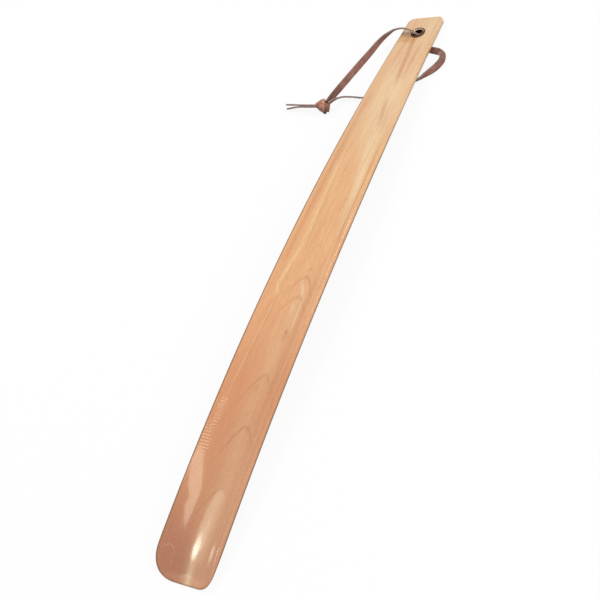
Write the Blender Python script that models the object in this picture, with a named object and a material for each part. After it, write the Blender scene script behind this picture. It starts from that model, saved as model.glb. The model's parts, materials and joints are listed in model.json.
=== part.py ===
# Long wooden shoe horn with a leather thong through an eyelet in its handle.
# Metres. +Z up, +Y from the blade towards the handle. The horn rests front up on its blade tip
# and on its handle end, and the origin lies on that surface under the middle of the horn.
import math

import bmesh
import bpy
from mathutils import Matrix, Vector

for leftover in list(bpy.data.objects):
    bpy.data.objects.remove(leftover, do_unlink=True)

# Clearances shared by the pieces
fit_gap = 0.00025
cut_overrun = 0.002

# Horn, measured along its arch
horn_length = 0.480
arch_radius = 1.965
seat_length = 0.040
tip_width = 0.0460
blade_width = 0.0460
waist_width = 0.0409
handle_width = 0.0303
width_station_shares = (0.0, 0.35, 0.68, 1.0)
board_thickness = 0.0042
tip_thickness = 0.0024
tip_taper_length = 0.026
trough_depth = 0.0024
trough_fade_shares = (0.05, 0.80)
edge_radius = 0.0011
left_corner_length = 0.0199
left_corner_inset = 0.0196
left_corner_power = 2.4
right_corner_length = 0.0138
right_corner_inset = 0.0099
right_corner_power = 3.0
handle_corner_radius = 0.0054
corner_rows = 18
body_rows = 34
handle_rows = 5
horn_columns = 12
edge_steps = 3
rest_samples = 60
rest_passes = 12

# Leather lace and its knot
lace_width = 0.0055
lace_thickness = 0.0013
lace_play = 0.00105
lace_bevel_steps = 2
route_steps = 2
knot_radius = 0.0056
knot_length = 0.0094
knot_sides = 28

# Eyelet, one spun tube with a rolled rim in front and a flared lip let into the back
eyelet_from_end = 0.0209
eyelet_hole_radius = lace_width / 2.0 + lace_play
eyelet_wall = 0.00045
tube_radius = eyelet_hole_radius + eyelet_wall
rim_width = 0.00205
rim_height = 0.00095
lip_width = 0.00085
lip_radius = tube_radius + lip_width
lip_thickness = 0.00042
rim_steps = 8
round_sides = 48


def fade(start, end, value):
    share = min(max((value - start) / (end - start), 0.0), 1.0)
    return share * share * (3.0 - 2.0 * share)


def natural_spline(stations, values):
    # Second slopes of a natural cubic through the stations, solved by forward sweep
    count = len(stations)
    gaps = [stations[i + 1] - stations[i] for i in range(count - 1)]
    bends = [0.0] * count
    sweep = [0.0] * count
    for i in range(1, count - 1):
        rise = (values[i + 1] - values[i]) / gaps[i] - (values[i] - values[i - 1]) / gaps[i - 1]
        pivot = 2.0 * (gaps[i] + gaps[i - 1]) - gaps[i - 1] * sweep[i - 1]
        sweep[i] = gaps[i] / pivot
        bends[i] = (6.0 * rise - gaps[i - 1] * bends[i - 1]) / pivot
    for i in range(count - 2, 0, -1):
        bends[i] -= sweep[i] * bends[i + 1]

    def read(place):
        i = 0
        while i < count - 2 and place > stations[i + 1]:
            i += 1
        after = (place - stations[i]) / gaps[i]
        before = 1.0 - after
        curl = (before ** 3 - before) * bends[i] + (after ** 3 - after) * bends[i + 1]
        return before * values[i] + after * values[i + 1] + curl * gaps[i] ** 2 / 6.0

    return read


full_width = natural_spline(width_station_shares, (tip_width, blade_width, waist_width, handle_width))


def corner_inset(along, length, inset, power):
    reach = min(max(1.0 - along / length, 0.0), 1.0)
    return inset * (1.0 - (1.0 - reach ** power) ** (1.0 / power))


def half_width(along, side, margin):
    # Distance from the middle line to the outline, drawn in by margin on every side
    half = full_width(along / horn_length) / 2.0 - margin
    if side < 0:
        length, inset, power = left_corner_length, left_corner_inset, left_corner_power
    else:
        length, inset, power = right_corner_length, right_corner_inset, right_corner_power
    half -= corner_inset(along - margin, length - margin, inset - margin, power)
    from_end = horn_length - margin - along
    handle_round = max(handle_corner_radius - margin, edge_radius)
    half -= corner_inset(from_end, handle_round, handle_round, 2.0)
    return half


def thickness(along):
    return tip_thickness + (board_thickness - tip_thickness) * fade(0.0, tip_taper_length, along)


def trough_lift(along, across):
    share = along / horn_length
    depth = trough_depth * (1.0 - fade(trough_fade_shares[0], trough_fade_shares[1], share))
    return depth * (2.0 * across / full_width(share)) ** 2


def arch_place(along):
    # Height and reach of the middle line before the horn is laid down, level at the tip
    arc_length = horn_length - seat_length
    turned = min(along, arc_length) / arch_radius
    reach = arch_radius * math.sin(turned)
    height = -arch_radius * (1.0 - math.cos(turned))
    straight = max(along - arc_length, 0.0)
    return Vector((0.0, reach + straight * math.cos(turned), height - straight * math.sin(turned))), turned


def arch_point(along, across, out):
    # Point at a distance along the arch, across it, and out from its middle surface
    place, turned = arch_place(along)
    normal = Vector((0.0, math.sin(turned), math.cos(turned)))
    return place + normal * (out + trough_lift(along, across)) + Vector((across, 0.0, 0.0))


def back_points(first, last):
    # Middle line of the back, with the rounded edge at either end
    points = []
    for step in range(rest_samples + 1):
        along = first + (last - first) * step / rest_samples
        inside = max(edge_radius - min(along, horn_length - along), 0.0)
        drop = edge_radius - math.sqrt(edge_radius ** 2 - inside ** 2)
        points.append(arch_point(along, 0.0, drop - thickness(along) / 2.0))
    return points


def rest_matrix():
    # Turns and lifts the arch so that the tip and the handle end touch the surface
    tip_side = back_points(0.0, tip_taper_length)
    handle_side = back_points(horn_length - seat_length, horn_length)
    tilt = 0.0
    for _ in range(rest_passes):
        turn = Matrix.Rotation(tilt, 3, "X")
        low_tip = min((turn @ point for point in tip_side), key=lambda point: point.z)
        low_handle = min((turn @ point for point in handle_side), key=lambda point: point.z)
        tilt -= math.atan2(low_handle.z - low_tip.z, low_handle.y - low_tip.y)
    turn = Matrix.Rotation(tilt, 3, "X")
    tip_end = turn @ arch_point(0.0, 0.0, 0.0)
    handle_end = turn @ arch_point(horn_length, 0.0, board_thickness / 2.0 - edge_radius)
    floor = min((turn @ point).z for point in tip_side)
    shift = Vector((0.0, -(tip_end.y + handle_end.y) / 2.0, -floor))
    return Matrix.Translation(shift) @ turn.to_4x4()


rest = rest_matrix()
eyelet_along = horn_length - eyelet_from_end
seat_middle, seat_turn = arch_place(eyelet_along)
seat_frame = rest @ Matrix.Translation(seat_middle) @ Matrix.Rotation(-seat_turn, 4, "X")


def material(name, colour, roughness, metallic, coat):
    made = bpy.data.materials.new(name)
    made.use_nodes = True
    shader = made.node_tree.nodes["Principled BSDF"]
    shader.inputs["Base Color"].default_value = (*colour, 1.0)
    shader.inputs["Roughness"].default_value = roughness
    shader.inputs["Metallic"].default_value = metallic
    shader.inputs["Coat Weight"].default_value = coat
    made.diffuse_color = (*colour, 1.0)
    return made


wood_finish = material("lacquered_wood", (0.72, 0.44, 0.24), 0.35, 0.0, 0.8)
metal_finish = material("aged_metal", (0.05, 0.035, 0.03), 0.35, 0.9, 0.0)
leather_finish = material("brown_leather", (0.22, 0.11, 0.075), 0.62, 0.0, 0.0)
knot_finish = material("brown_leather_knot", (0.30, 0.15, 0.10), 0.62, 0.0, 0.0)


def add_object(name, data, finish):
    made = bpy.data.objects.new(name, data)
    bpy.context.collection.objects.link(made)
    data.materials.append(finish)
    return made


def mesh_object(name, shape, finish):
    bmesh.ops.recalc_face_normals(shape, faces=shape.faces)
    mesh = bpy.data.meshes.new(name)
    shape.to_mesh(mesh)
    shape.free()
    mesh.shade_smooth()
    mesh.set_sharp_from_angle(angle=math.radians(40.0))
    return add_object(name, mesh, finish)


def horn_rows():
    # Rows along the horn, close together where its corners turn
    first = edge_radius
    last = horn_length - edge_radius
    tip_end = max(left_corner_length, right_corner_length) + first
    handle_start = last - handle_corner_radius
    quarter = math.pi / 2.0
    rows = [first + (tip_end - first) * (1.0 - math.cos(quarter * i / corner_rows)) for i in range(corner_rows)]
    rows += [tip_end + (handle_start - tip_end) * i / body_rows for i in range(body_rows)]
    rows += [last - (last - handle_start) * (1.0 - math.sin(quarter * i / handle_rows))
             for i in range(handle_rows + 1)]
    return rows


def horn_grid():
    # Plan points inside the rounded edge, as rows of (along, across)
    grid = []
    for along in horn_rows():
        left = -half_width(along, -1, edge_radius)
        right = half_width(along, 1, edge_radius)
        grid.append([(along, left + (right - left) * i / horn_columns) for i in range(horn_columns + 1)])
    return grid


def grid_border(grid):
    # Grid places round the border, anticlockwise seen from the front
    last_row = len(grid) - 1
    border = [(0, column) for column in range(horn_columns)]
    border += [(row, horn_columns) for row in range(last_row)]
    border += [(last_row, column) for column in range(horn_columns, 0, -1)]
    border += [(row, 0) for row in range(last_row, 0, -1)]
    return border


def outward_normals(points):
    # Plan normals of a closed border, by the mean of its two neighbouring sides
    normals = []
    count = len(points)
    for i in range(count):
        here = Vector(points[i])
        sides = (here - Vector(points[i - 1]), Vector(points[(i + 1) % count]) - here)
        normals.append(sum((Vector((-side.y, side.x)).normalized() for side in sides), Vector((0.0, 0.0))))
    return [normal.normalized() for normal in normals]


def build_horn():
    grid = horn_grid()
    shape = bmesh.new()

    def vertex(along, across, out):
        return shape.verts.new(rest @ arch_point(along, across, out))

    faces = {}
    for side in (1, -1):
        faces[side] = [[vertex(along, across, side * thickness(along) / 2.0) for along, across in row]
                       for row in grid]
        for row in range(len(grid) - 1):
            for column in range(horn_columns):
                near = faces[side][row]
                far = faces[side][row + 1]
                shape.faces.new((near[column], near[column + 1], far[column + 1], far[column]))

    border = grid_border(grid)
    plan = [grid[row][column] for row, column in border]
    outward = outward_normals(plan)
    rings = []
    for side in (1, -1):
        angles = [math.pi / 2.0 * step / edge_steps for step in range(edge_steps + 1)]
        if side < 0:
            angles.reverse()
        for angle in angles:
            if angle == 0.0:
                rings.append([faces[side][row][column] for row, column in border])
                continue
            ring = []
            for (along, across), normal in zip(plan, outward):
                reach = edge_radius * math.sin(angle)
                drop = edge_radius * (1.0 - math.cos(angle))
                out = side * (thickness(along) / 2.0 - drop)
                ring.append(vertex(along + normal.x * reach, across + normal.y * reach, out))
            rings.append(ring)
    count = len(border)
    for upper, lower in zip(rings, rings[1:]):
        for i in range(count):
            after = (i + 1) % count
            shape.faces.new((upper[i], upper[after], lower[after], lower[i]))
    return mesh_object("horn", shape, wood_finish)


def turned_object(name, profile, frame, sides, finish):
    # A closed profile of (radius, height) points spun once round the frame's Z axis
    shape = bmesh.new()
    rings = []
    for step in range(sides):
        angle = 2.0 * math.pi * step / sides
        spoke = Vector((math.cos(angle), math.sin(angle), 0.0))
        rings.append([shape.verts.new(frame @ (spoke * radius + Vector((0.0, 0.0, height))))
                      for radius, height in profile])
    count = len(profile)
    for step in range(sides):
        here = rings[step]
        there = rings[(step + 1) % sides]
        for i in range(count):
            after = (i + 1) % count
            shape.faces.new((here[i], here[after], there[after], there[i]))
    return mesh_object(name, shape, finish)


def cut_bore(horn):
    # Through bore for the eyelet's tube and a shallow recess behind for its flared lip
    recess_depth = lip_thickness + fit_gap
    back = -board_thickness / 2.0
    front = board_thickness / 2.0
    inner = tube_radius + fit_gap
    outer = lip_radius + fit_gap
    shape = bmesh.new()
    levels = ((outer, back - cut_overrun), (outer, back + recess_depth),
              (inner, back + recess_depth), (inner, front + cut_overrun))
    rings = []
    for radius, height in levels:
        ring = []
        for step in range(round_sides):
            angle = 2.0 * math.pi * step / round_sides
            place = Vector((radius * math.cos(angle), radius * math.sin(angle), height))
            ring.append(shape.verts.new(seat_frame @ place))
        rings.append(ring)
    for lower, upper in zip(rings, rings[1:]):
        for i in range(round_sides):
            after = (i + 1) % round_sides
            shape.faces.new((lower[i], lower[after], upper[after], upper[i]))
    shape.faces.new(reversed(rings[0]))
    shape.faces.new(rings[-1])
    cutter = mesh_object("bore_cutter", shape, wood_finish)
    cutter.hide_render = True
    cutter.display_type = "WIRE"
    cut = horn.modifiers.new("eyelet_bore", "BOOLEAN")
    cut.object = cutter
    cut.operation = "DIFFERENCE"
    cut.solver = "EXACT"


def build_eyelet():
    # Heights run from the middle of the board along the bore
    front = board_thickness / 2.0
    back = -board_thickness / 2.0
    rim_foot = front + fit_gap
    rim_half = rim_width / 2.0
    rim_middle = eyelet_hole_radius + rim_half
    lip_top = back + lip_thickness
    profile = []
    for step in range(rim_steps + 1):
        angle = math.pi * step / rim_steps
        profile.append((rim_middle + rim_half * math.cos(angle), rim_foot + rim_height * math.sin(angle)))
    profile += [(eyelet_hole_radius, back + eyelet_wall),
                (eyelet_hole_radius + eyelet_wall / 2.0, back),
                (lip_radius, back),
                (lip_radius, lip_top),
                (tube_radius, lip_top),
                (tube_radius, rim_foot)]
    return turned_object("eyelet", profile, seat_frame, round_sides, metal_finish)


# Thong. Its routes are measured from the foot of the eyelet's upright axis, in millimetres here
# and read into metres by route_unit. Each point is (x, y, z, lean): lean turns the lace from
# standing on its edge, in degrees.
route_unit = 0.001
eyelet_centre = seat_frame.translation.copy()

front_route = (
    (-0.36, 0.24, 4.15, 90.0),
    (-0.54, 0.36, 4.8, 90.0),
    (-0.98, 0.38, 6.1, 91.0),
    (-2.3, 0.2, 7.95, 95.0),
    (-4.7, 0.1, 9.35, 103.0),
    (-7.4, 0.8, 10.25, 113.0),
    (-10.4, 1.4, 10.85, 123.0),
    (-13.6, 1.8, 11.1, 130.0),
    (-16.8, 1.8, 10.9, 133.0),
    (-20.3, 1.6, 10.4, 140.0),
    (-23.4, 0.2, 9.7, 157.0),
    (-27.3, -3.2, 8.6, 180.0),
    (-32.0, -8.9, 7.2, 200.0),
    (-36.7, -18.7, 5.8, 217.0),
    (-43.5, -33.0, 4.6, 223.0),
    (-49.7, -47.3, 4.1, 222.0),
    (-53.3, -58.4, 4.4, 210.0),
    (-55.1, -65.0, 5.1, 190.0),
    (-55.65, -68.55, 5.76, 180.0),
)

back_route = (
    (-0.23, 0.12, 3.66, 90.0),
    (-0.01, -0.1, 2.83, 90.0),
    (0.50, -0.96, 1.75, 90.0),
    (1.6, -2.6, 1.18, 90.0),
    (3.5, -5.3, 1.1, 90.0),
    (6.5, -8.8, 1.2, 92.0),
    (10.5, -12.4, 1.4, 98.0),
    (15.2, -15.4, 1.65, 106.0),
    (18.6, -16.7, 1.85, 112.0),
    (22.0, -18.0, 1.95, 110.0),
    (25.5, -20.5, 2.0, 98.0),
    (27.8, -24.3, 1.95, 78.0),
    (28.6, -28.9, 2.2, 60.0),
    (27.6, -32.9, 2.55, 48.0),
    (25.5, -36.4, 2.8, 36.0),
    (22.6, -40.2, 3.0, 20.0),
    (19.4, -44.2, 3.1, 4.0),
    (15.7, -48.0, 3.1, -14.0),
    (8.1, -53.3, 3.0, -34.0),
    (-2.0, -58.1, 2.9, -46.0),
    (-12.1, -61.8, 2.8, -51.0),
    (-20.2, -64.1, 2.7, -52.0),
    (-27.4, -65.1, 2.65, -53.0),
    (-35.3, -63.9, 2.6, -53.0),
    (-41.4, -62.8, 2.65, -52.0),
    (-46.4, -62.8, 2.8, -50.0),
    (-50.0, -64.8, 3.3, -42.0),
    (-51.8, -67.3, 4.1, -30.0),
    (-53.54, -70.75, 5.14, -16.0),
)

knot_apex = (-64.8, -74.7, 5.5)
knot_heel = (-55.2, -74.3, 5.95)

upper_tail_route = (
    (-65.3, -73.8, 5.9, -50.0),
    (-74.0, -72.5, 4.8, -50.0),
    (-81.7, -71.1, 3.95, -50.0),
    (-88.9, -70.0, 3.35, -51.0),
    (-95.5, -68.9, 2.9, -52.0),
)

lower_tail_route = (
    (-65.3, -75.1, 4.6, -50.0),
    (-74.0, -73.9, 3.45, -50.0),
    (-81.5, -73.0, 2.75, -50.0),
    (-88.1, -72.9, 2.5, -51.0),
    (-94.0, -73.5, 2.45, -52.0),
)


def smooth_route(points):
    # Points of a smooth curve through the route, route_steps to each stretch
    ends = [tuple(2.0 * a - b for a, b in zip(points[0], points[1]))]
    ends += list(points)
    ends.append(tuple(2.0 * a - b for a, b in zip(points[-1], points[-2])))
    fine = []
    for i in range(1, len(ends) - 2):
        before, start, end, after = (Vector(ends[i + k]) for k in (-1, 0, 1, 2))
        for step in range(route_steps):
            share = step / route_steps
            fine.append(start + 0.5 * share * (end - before + share * (
                2.0 * before - 5.0 * start + 4.0 * end - after + share * (3.0 * (start - end) + after - before))))
    fine.append(Vector(ends[-2]))
    return fine


def build_lace(name, route, finish, pivot):
    points = smooth_route(route)
    data = bpy.data.curves.new(name, "CURVE")
    data.dimensions = "3D"
    data.twist_mode = "Z_UP"
    data.bevel_depth = lace_thickness / 2.0
    data.bevel_resolution = lace_bevel_steps
    data.extrude = (lace_width - lace_thickness) / 2.0
    data.use_fill_caps = True
    spline = data.splines.new("POLY")
    spline.points.add(len(points) - 1)
    for slot, point in zip(spline.points, points):
        slot.co = (point.x * route_unit, point.y * route_unit, point.z * route_unit, 1.0)
        slot.tilt = math.radians(point.w)
    spline.use_smooth = True
    lace = add_object(name, data, finish)
    lace.parent = pivot
    return lace


def build_knot(pivot):
    # Wraps of the tightened knot, widest towards the loop and drawn in where the tails leave
    radius_shares = (0.42, 0.62, 0.80, 0.93, 1.0, 0.94, 0.86, 0.96, 0.98, 0.88, 0.62)
    place_shares = (0.0, 0.16, 0.34, 0.52, 0.64, 0.71, 0.75, 0.80, 0.90, 0.97, 1.0)
    apex = Vector(knot_apex) * route_unit
    heel = Vector(knot_heel) * route_unit
    axis = (heel - apex).normalized()
    turn = Vector((0.0, 0.0, 1.0)).rotation_difference(axis).to_matrix().to_4x4()
    frame = Matrix.Translation(heel - axis * knot_length) @ turn
    shape = bmesh.new()
    rings = []
    for place, radius in zip(place_shares, radius_shares):
        ring = []
        for step in range(knot_sides):
            angle = 2.0 * math.pi * step / knot_sides
            spoke = Vector((math.cos(angle), math.sin(angle), 0.0)) * radius * knot_radius
            ring.append(shape.verts.new(frame @ (spoke + Vector((0.0, 0.0, place * knot_length)))))
        rings.append(ring)
    for lower, upper in zip(rings, rings[1:]):
        for i in range(knot_sides):
            after = (i + 1) % knot_sides
            shape.faces.new((lower[i], lower[after], upper[after], upper[i]))
    shape.faces.new(reversed(rings[0]))
    shape.faces.new(rings[-1])
    knot = mesh_object("thong_knot", shape, knot_finish)
    knot.parent = pivot
    return knot


horn_piece = build_horn()
cut_bore(horn_piece)
build_eyelet()

thong_pivot = bpy.data.objects.new("thong_pivot", None)
thong_pivot.location = (eyelet_centre.x, eyelet_centre.y, 0.0)
bpy.context.collection.objects.link(thong_pivot)

build_lace("thong_front_strand", front_route, leather_finish, thong_pivot)
build_lace("thong_back_strand", back_route, leather_finish, thong_pivot)
build_lace("thong_upper_tail", upper_tail_route, leather_finish, thong_pivot)
build_lace("thong_lower_tail", lower_tail_route, leather_finish, thong_pivot)
build_knot(thong_pivot)
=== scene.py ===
# Long wooden shoe horn with its eyelet and leather thong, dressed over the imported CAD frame.
# Metres, in the frame of the CAD model: Z up, Y from the blade to the handle.
import json
import math

import bmesh
import bpy
from mathutils import Matrix, Vector

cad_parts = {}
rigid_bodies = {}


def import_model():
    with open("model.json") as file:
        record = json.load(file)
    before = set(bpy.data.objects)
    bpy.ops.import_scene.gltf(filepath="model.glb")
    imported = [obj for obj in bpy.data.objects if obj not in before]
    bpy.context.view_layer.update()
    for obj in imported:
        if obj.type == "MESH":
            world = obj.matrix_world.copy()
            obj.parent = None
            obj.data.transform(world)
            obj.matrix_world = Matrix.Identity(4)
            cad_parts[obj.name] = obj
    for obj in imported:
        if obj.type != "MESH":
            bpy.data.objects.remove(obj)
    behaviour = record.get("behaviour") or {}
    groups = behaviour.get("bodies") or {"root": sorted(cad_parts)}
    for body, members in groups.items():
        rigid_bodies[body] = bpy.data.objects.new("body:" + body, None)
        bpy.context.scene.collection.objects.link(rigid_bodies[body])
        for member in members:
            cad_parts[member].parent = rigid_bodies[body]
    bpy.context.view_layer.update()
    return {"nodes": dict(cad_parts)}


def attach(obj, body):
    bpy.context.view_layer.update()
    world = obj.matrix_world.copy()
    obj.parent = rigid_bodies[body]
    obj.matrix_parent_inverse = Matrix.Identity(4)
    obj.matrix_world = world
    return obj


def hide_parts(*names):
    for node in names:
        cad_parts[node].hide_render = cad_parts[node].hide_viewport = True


for leftover in list(bpy.data.objects):
    bpy.data.objects.remove(leftover, do_unlink=True)

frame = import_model()
print("frame loaded:", ", ".join(sorted(frame["nodes"])))

mm = 0.001  # the lace's routes, the knot and the wood's figure are given in millimetres
perMetre = 1000.0
white = (1.0, 1.0, 1.0, 1.0)
square = ((-1, -1), (1, -1), (1, 1), (-1, 1))


# Node tools: one wrapped socket for sums, and one way to add any node

class Wire:
    def __init__(self, board, socket):
        self.board = board
        self.socket = socket


def sumRule(operation, turned):
    return lambda wire, other: wire.board.maths(operation, *((other, wire) if turned else (wire, other)))


for sign, operation in (("add", "ADD"), ("sub", "SUBTRACT"), ("mul", "MULTIPLY"), ("truediv", "DIVIDE"),
                        ("pow", "POWER")):
    setattr(Wire, "__%s__" % sign, sumRule(operation, False))
    setattr(Wire, "__r%s__" % sign, sumRule(operation, True))


class Board:
    def __init__(self, tree):
        self.tree = tree

    def node(self, kind, settings=None, values=None, output=0):
        made = self.tree.nodes.new(kind)
        for name, setting in (settings or {}).items():
            if name == "stops":
                ramp = made.color_ramp
                while len(ramp.elements) < len(setting):
                    ramp.elements.new(1.0)
                for element, (place, colour) in zip(ramp.elements, setting):
                    element.position = place
                    element.color = colour
            else:
                setattr(made, name, setting)
        for name, value in (values or {}).items():
            self.feed(made.inputs[name], value)
        return Wire(self, made.outputs[output])

    def feed(self, socket, value):
        if isinstance(value, Wire):
            self.tree.links.new(value.socket, socket)
        else:
            socket.default_value = value

    def maths(self, operation, *terms):
        return self.node("ShaderNodeMath", {"operation": operation}, dict(enumerate(terms)))

    def vector(self, x, y, z):
        return self.node("ShaderNodeCombineXYZ", None, {0: x, 1: y, 2: z})

    def noise(self, place, scale, detail, rough):
        return self.node("ShaderNodeTexNoise", {"noise_dimensions": "3D"},
                         {"Vector": place, "Scale": scale, "Detail": detail, "Roughness": rough}, "Fac")

    def store(self, shape, name, value, kind="FLOAT"):
        return self.node("GeometryNodeStoreNamedAttribute", {"data_type": kind, "domain": "POINT"},
                         {"Geometry": shape, "Name": name, "Value": value})

    def objectPlace(self):
        return self.node("ShaderNodeTexCoord", None, None, "Object")

    def mark(self, name, output="Fac"):
        return self.node("ShaderNodeAttribute", {"attribute_name": name}, None, output)

    def split(self, place, axes="XYZ"):
        return [self.node("ShaderNodeSeparateXYZ", None, {0: place}, axis) for axis in axes]

    def band(self, value, start, end):
        # 0 before start, 1 after end, smooth between, or the other way round where start is the higher
        return self.node("ShaderNodeMapRange", {"interpolation_type": "SMOOTHSTEP"},
                         {"Value": value, "From Min": start, "From Max": end})

    def fall(self, value, start, end):
        return 1.0 - self.band(value, start, end)

    def stretch(self, value, start, end, soft):
        # 1 between start and end, soft on both sides of each
        return self.band(value, start - soft, start + soft) * self.fall(value, end - soft, end + soft)

    def bell(self, value):
        return self.maths("EXPONENT", value * value * -1.0)

    def strongest(self, masks):
        best = masks[0]
        for mask in masks[1:]:
            best = self.maths("MAXIMUM", best, mask)
        return best

    def blend(self, share, first, second):
        return self.node("ShaderNodeMix", {"data_type": "RGBA"}, {0: share, 6: first, 7: second}, 2)


def shade(red, green, blue):
    # Linear colour from the 0-255 values of a screen
    parts = []
    for level in (red, green, blue):
        share = level / 255.0
        parts.append(share / 12.92 if share <= 0.04045 else ((share + 0.055) / 1.055) ** 2.4)
    return (*parts, 1.0)


def finishBoard(name):
    made = bpy.data.materials.new(name)
    made.use_nodes = True
    board = Board(made.node_tree)
    board.material = made
    board.shader = made.node_tree.nodes["Principled BSDF"]
    return board


def setShader(board, **values):
    for name, value in values.items():
        board.feed(board.shader.inputs[name.replace("_", " ")], value)


def mixSurface(board, share, first, second):
    both = board.node("ShaderNodeMixShader", None, {0: share, 1: first, 2: second})
    board.feed(board.tree.nodes["Material Output"].inputs["Surface"], both)


def growTree(name, sizes, keys):
    # A Geometry Nodes tree with an input for each of these sizes and one for the finish; returns its
    # board, its input wires and the identifiers of the inputs
    tree = bpy.data.node_groups.new(name, "GeometryNodeTree")
    tree.is_modifier = True
    kinds = {float: "Float", int: "Int", tuple: "Vector"}
    inputs = {"Geometry": "Geometry", **{key: kinds[type(sizes[key])] for key in keys}, "finish": "Material"}
    identifiers = {}
    for label, kind in inputs.items():
        socket = tree.interface.new_socket(name=label, in_out="INPUT", socket_type="NodeSocket" + kind)
        identifiers[label] = socket.identifier
    tree.interface.new_socket(name="Geometry", in_out="OUTPUT", socket_type="NodeSocketGeometry")
    board = Board(tree)
    entry = tree.nodes.new("NodeGroupInput")
    wires = {label: Wire(board, entry.outputs[label]) for label in inputs}
    del identifiers["Geometry"]
    return board, wires, identifiers


def closeTree(board, shape, finish):
    real = board.node("GeometryNodeRealizeInstances", None, {"Geometry": shape})
    dressed = board.node("GeometryNodeSetMaterial", None, {"Geometry": real, "Material": finish})
    board.feed(board.tree.nodes.new("NodeGroupOutput").inputs[0], dressed)


def settle(piece, modifier):
    # Evaluates the modifier once and keeps the result as a plain mesh
    evaluated = piece.evaluated_get(bpy.context.evaluated_depsgraph_get())
    made = bpy.data.meshes.new_from_object(evaluated)
    made.name = piece.name
    piece.modifiers.remove(modifier)
    spare = piece.data
    piece.data = made
    bpy.data.meshes.remove(spare)


def runTree(piece, board, identifiers, values):
    modifier = piece.modifiers.new("grow", "NODES")
    modifier.node_group = board.tree
    for label, identifier in identifiers.items():
        modifier[identifier] = values[label]
    settle(piece, modifier)


def addPiece(name, data):
    made = bpy.data.objects.new(name, data)
    bpy.context.scene.collection.objects.link(made)
    return made


def smoothPiece(piece, angle):
    piece.data.shade_smooth()
    piece.data.set_sharp_from_angle(angle=math.radians(angle))


def markPoints(mesh, name, values):
    mesh.attributes.new(name, "FLOAT", "POINT").data.foreach_set("value", values)


def circle(count):
    return [2.0 * math.pi * step / count for step in range(count)]


def joinRings(shape, rings, capped=False):
    # Faces between each ring of points and the next, and over the first and last
    for here, there in zip(rings, rings[1:]):
        for i in range(len(here)):
            after = (i + 1) % len(here)
            shape.faces.new((here[i], here[after], there[after], there[i]))
    if capped:
        shape.faces.new(reversed(rings[0]))
        shape.faces.new(rings[-1])


def keepShape(shape, name):
    mesh = bpy.data.meshes.new(name)
    shape.to_mesh(mesh)
    shape.free()
    return addPiece(name, mesh)


# Camera, fitted to the photograph

photoCamera = {
    "place": (0.361514, -0.324583, 0.471336),
    "turn": (0.6706988, 0.4342594, 0.4140405),
    "lens": 57.9645,
    "sensor": 36.0,
    "near": 0.01,
    "far": 20.0,
}


def placeCamera():
    data = bpy.data.cameras.new("photo_camera")
    data.lens = photoCamera["lens"]
    data.sensor_width = photoCamera["sensor"]
    data.clip_start = photoCamera["near"]
    data.clip_end = photoCamera["far"]
    camera = addPiece("photo_camera", data)
    camera.location = photoCamera["place"]
    camera.rotation_euler = photoCamera["turn"]
    bpy.context.scene.camera = camera


placeCamera()
print("camera placed")


# Leather lace. Each route point is its place in millimetres from the foot of the eyelet's upright axis,
# and how far in degrees the lace leans over from standing on its edge

lace = {
    "width": 0.0055,
    "thickness": 0.0013,
    "edgeRound": 0.00045,
    "edgeSteps": 3,
    "faceCuts": 2,
    "routeSteps": 6,
    "wander": 0.00022,  # how far its surface strays
    "wanderScale": 160.0,
    "wanderSeed": 3.7,
    "smoothAngle": 50.0,
}
eyeletMiddle = (0.0, 0.2185812, 0.0040575)
eyeletFoot = Vector((*eyeletMiddle[:2], 0.0))

frontRoute = (
    (-0.62, 0, 4.15, 62), (-0.7, -0.25, 4.9, 64), (-0.9, -0.9, 6.7, 108), (-2.51, -1.39, 8.6, 132),
    (-4.48, -0.87, 10.2, 144), (-7.11, 0.02, 10.9, 142), (-10.04, 0.82, 11.2, 137),
    (-13.6, 1.8, 11.1, 132), (-16.8, 1.8, 10.9, 129), (-20.3, 1.6, 10.4, 130),
    (-23.35, 0.15, 9.7, 140), (-27.59, -2.91, 8.6, 157), (-32.25, -8.69, 7.2, 175),
    (-37.11, -18.37, 5.8, 193), (-43.65, -32.88, 4.6, 213), (-49.22, -47.74, 4.29, 217),
    (-52.07, -59.64, 5.21, 198), (-53.05, -66.14, 6.4, 182), (-53.35, -70.77, 7.64, 168),
    (-53.77, -75, 8.33, 158),
)
backRoute = (
    (-0.3, 0.1, 3.66, 20), (-0.02, -0.1, 2.83, 32), (0.5, -0.96, 1.9, 58), (1.6, -2.6, 1.18, 88),
    (3.5, -5.3, 1.1, 90), (6.5, -8.8, 1.2, 92), (10.5, -12.4, 1.4, 98), (15.2, -15.4, 1.65, 103),
    (18.6, -16.7, 1.85, 107), (22.3, -18.3, 2.05, 106), (26, -20.9, 2.25, 74),
    (28.2, -24.5, 2.6, 38), (28.95, -28.7, 2.68, 34), (27.8, -32.85, 2.7, 30),
    (25.91, -36.85, 2.8, 25), (23.07, -40.77, 3, 4), (19.63, -44.49, 3.1, -18),
    (16, -48.39, 3.1, -38), (8.1, -53.3, 3, -47), (-2, -58.1, 2.9, -49), (-12.1, -61.8, 2.8, -49),
    (-20.2, -64.1, 2.7, -48), (-27.4, -65.1, 2.65, -45), (-35.3, -63.9, 2.6, -42),
    (-41.15, -63.45, 2.77, -43), (-45.63, -63.91, 3.28, -47), (-49.07, -65.48, 3.83, -50),
    (-50.89, -68.11, 4.89, -45), (-52.2, -71.78, 6.14, -36), (-53.12, -75.49, 7.13, -32),
)
upperTailRoute = (
    (-59.44, -78.48, 9.88, -48), (-61.84, -77.99, 9.37, -46), (-71.73, -75.07, 6.95, -45),
    (-80.24, -72.99, 5.27, -43), (-87.75, -71.16, 3.99, -44), (-95.28, -69.72, 3.1, -45),
)
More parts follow.
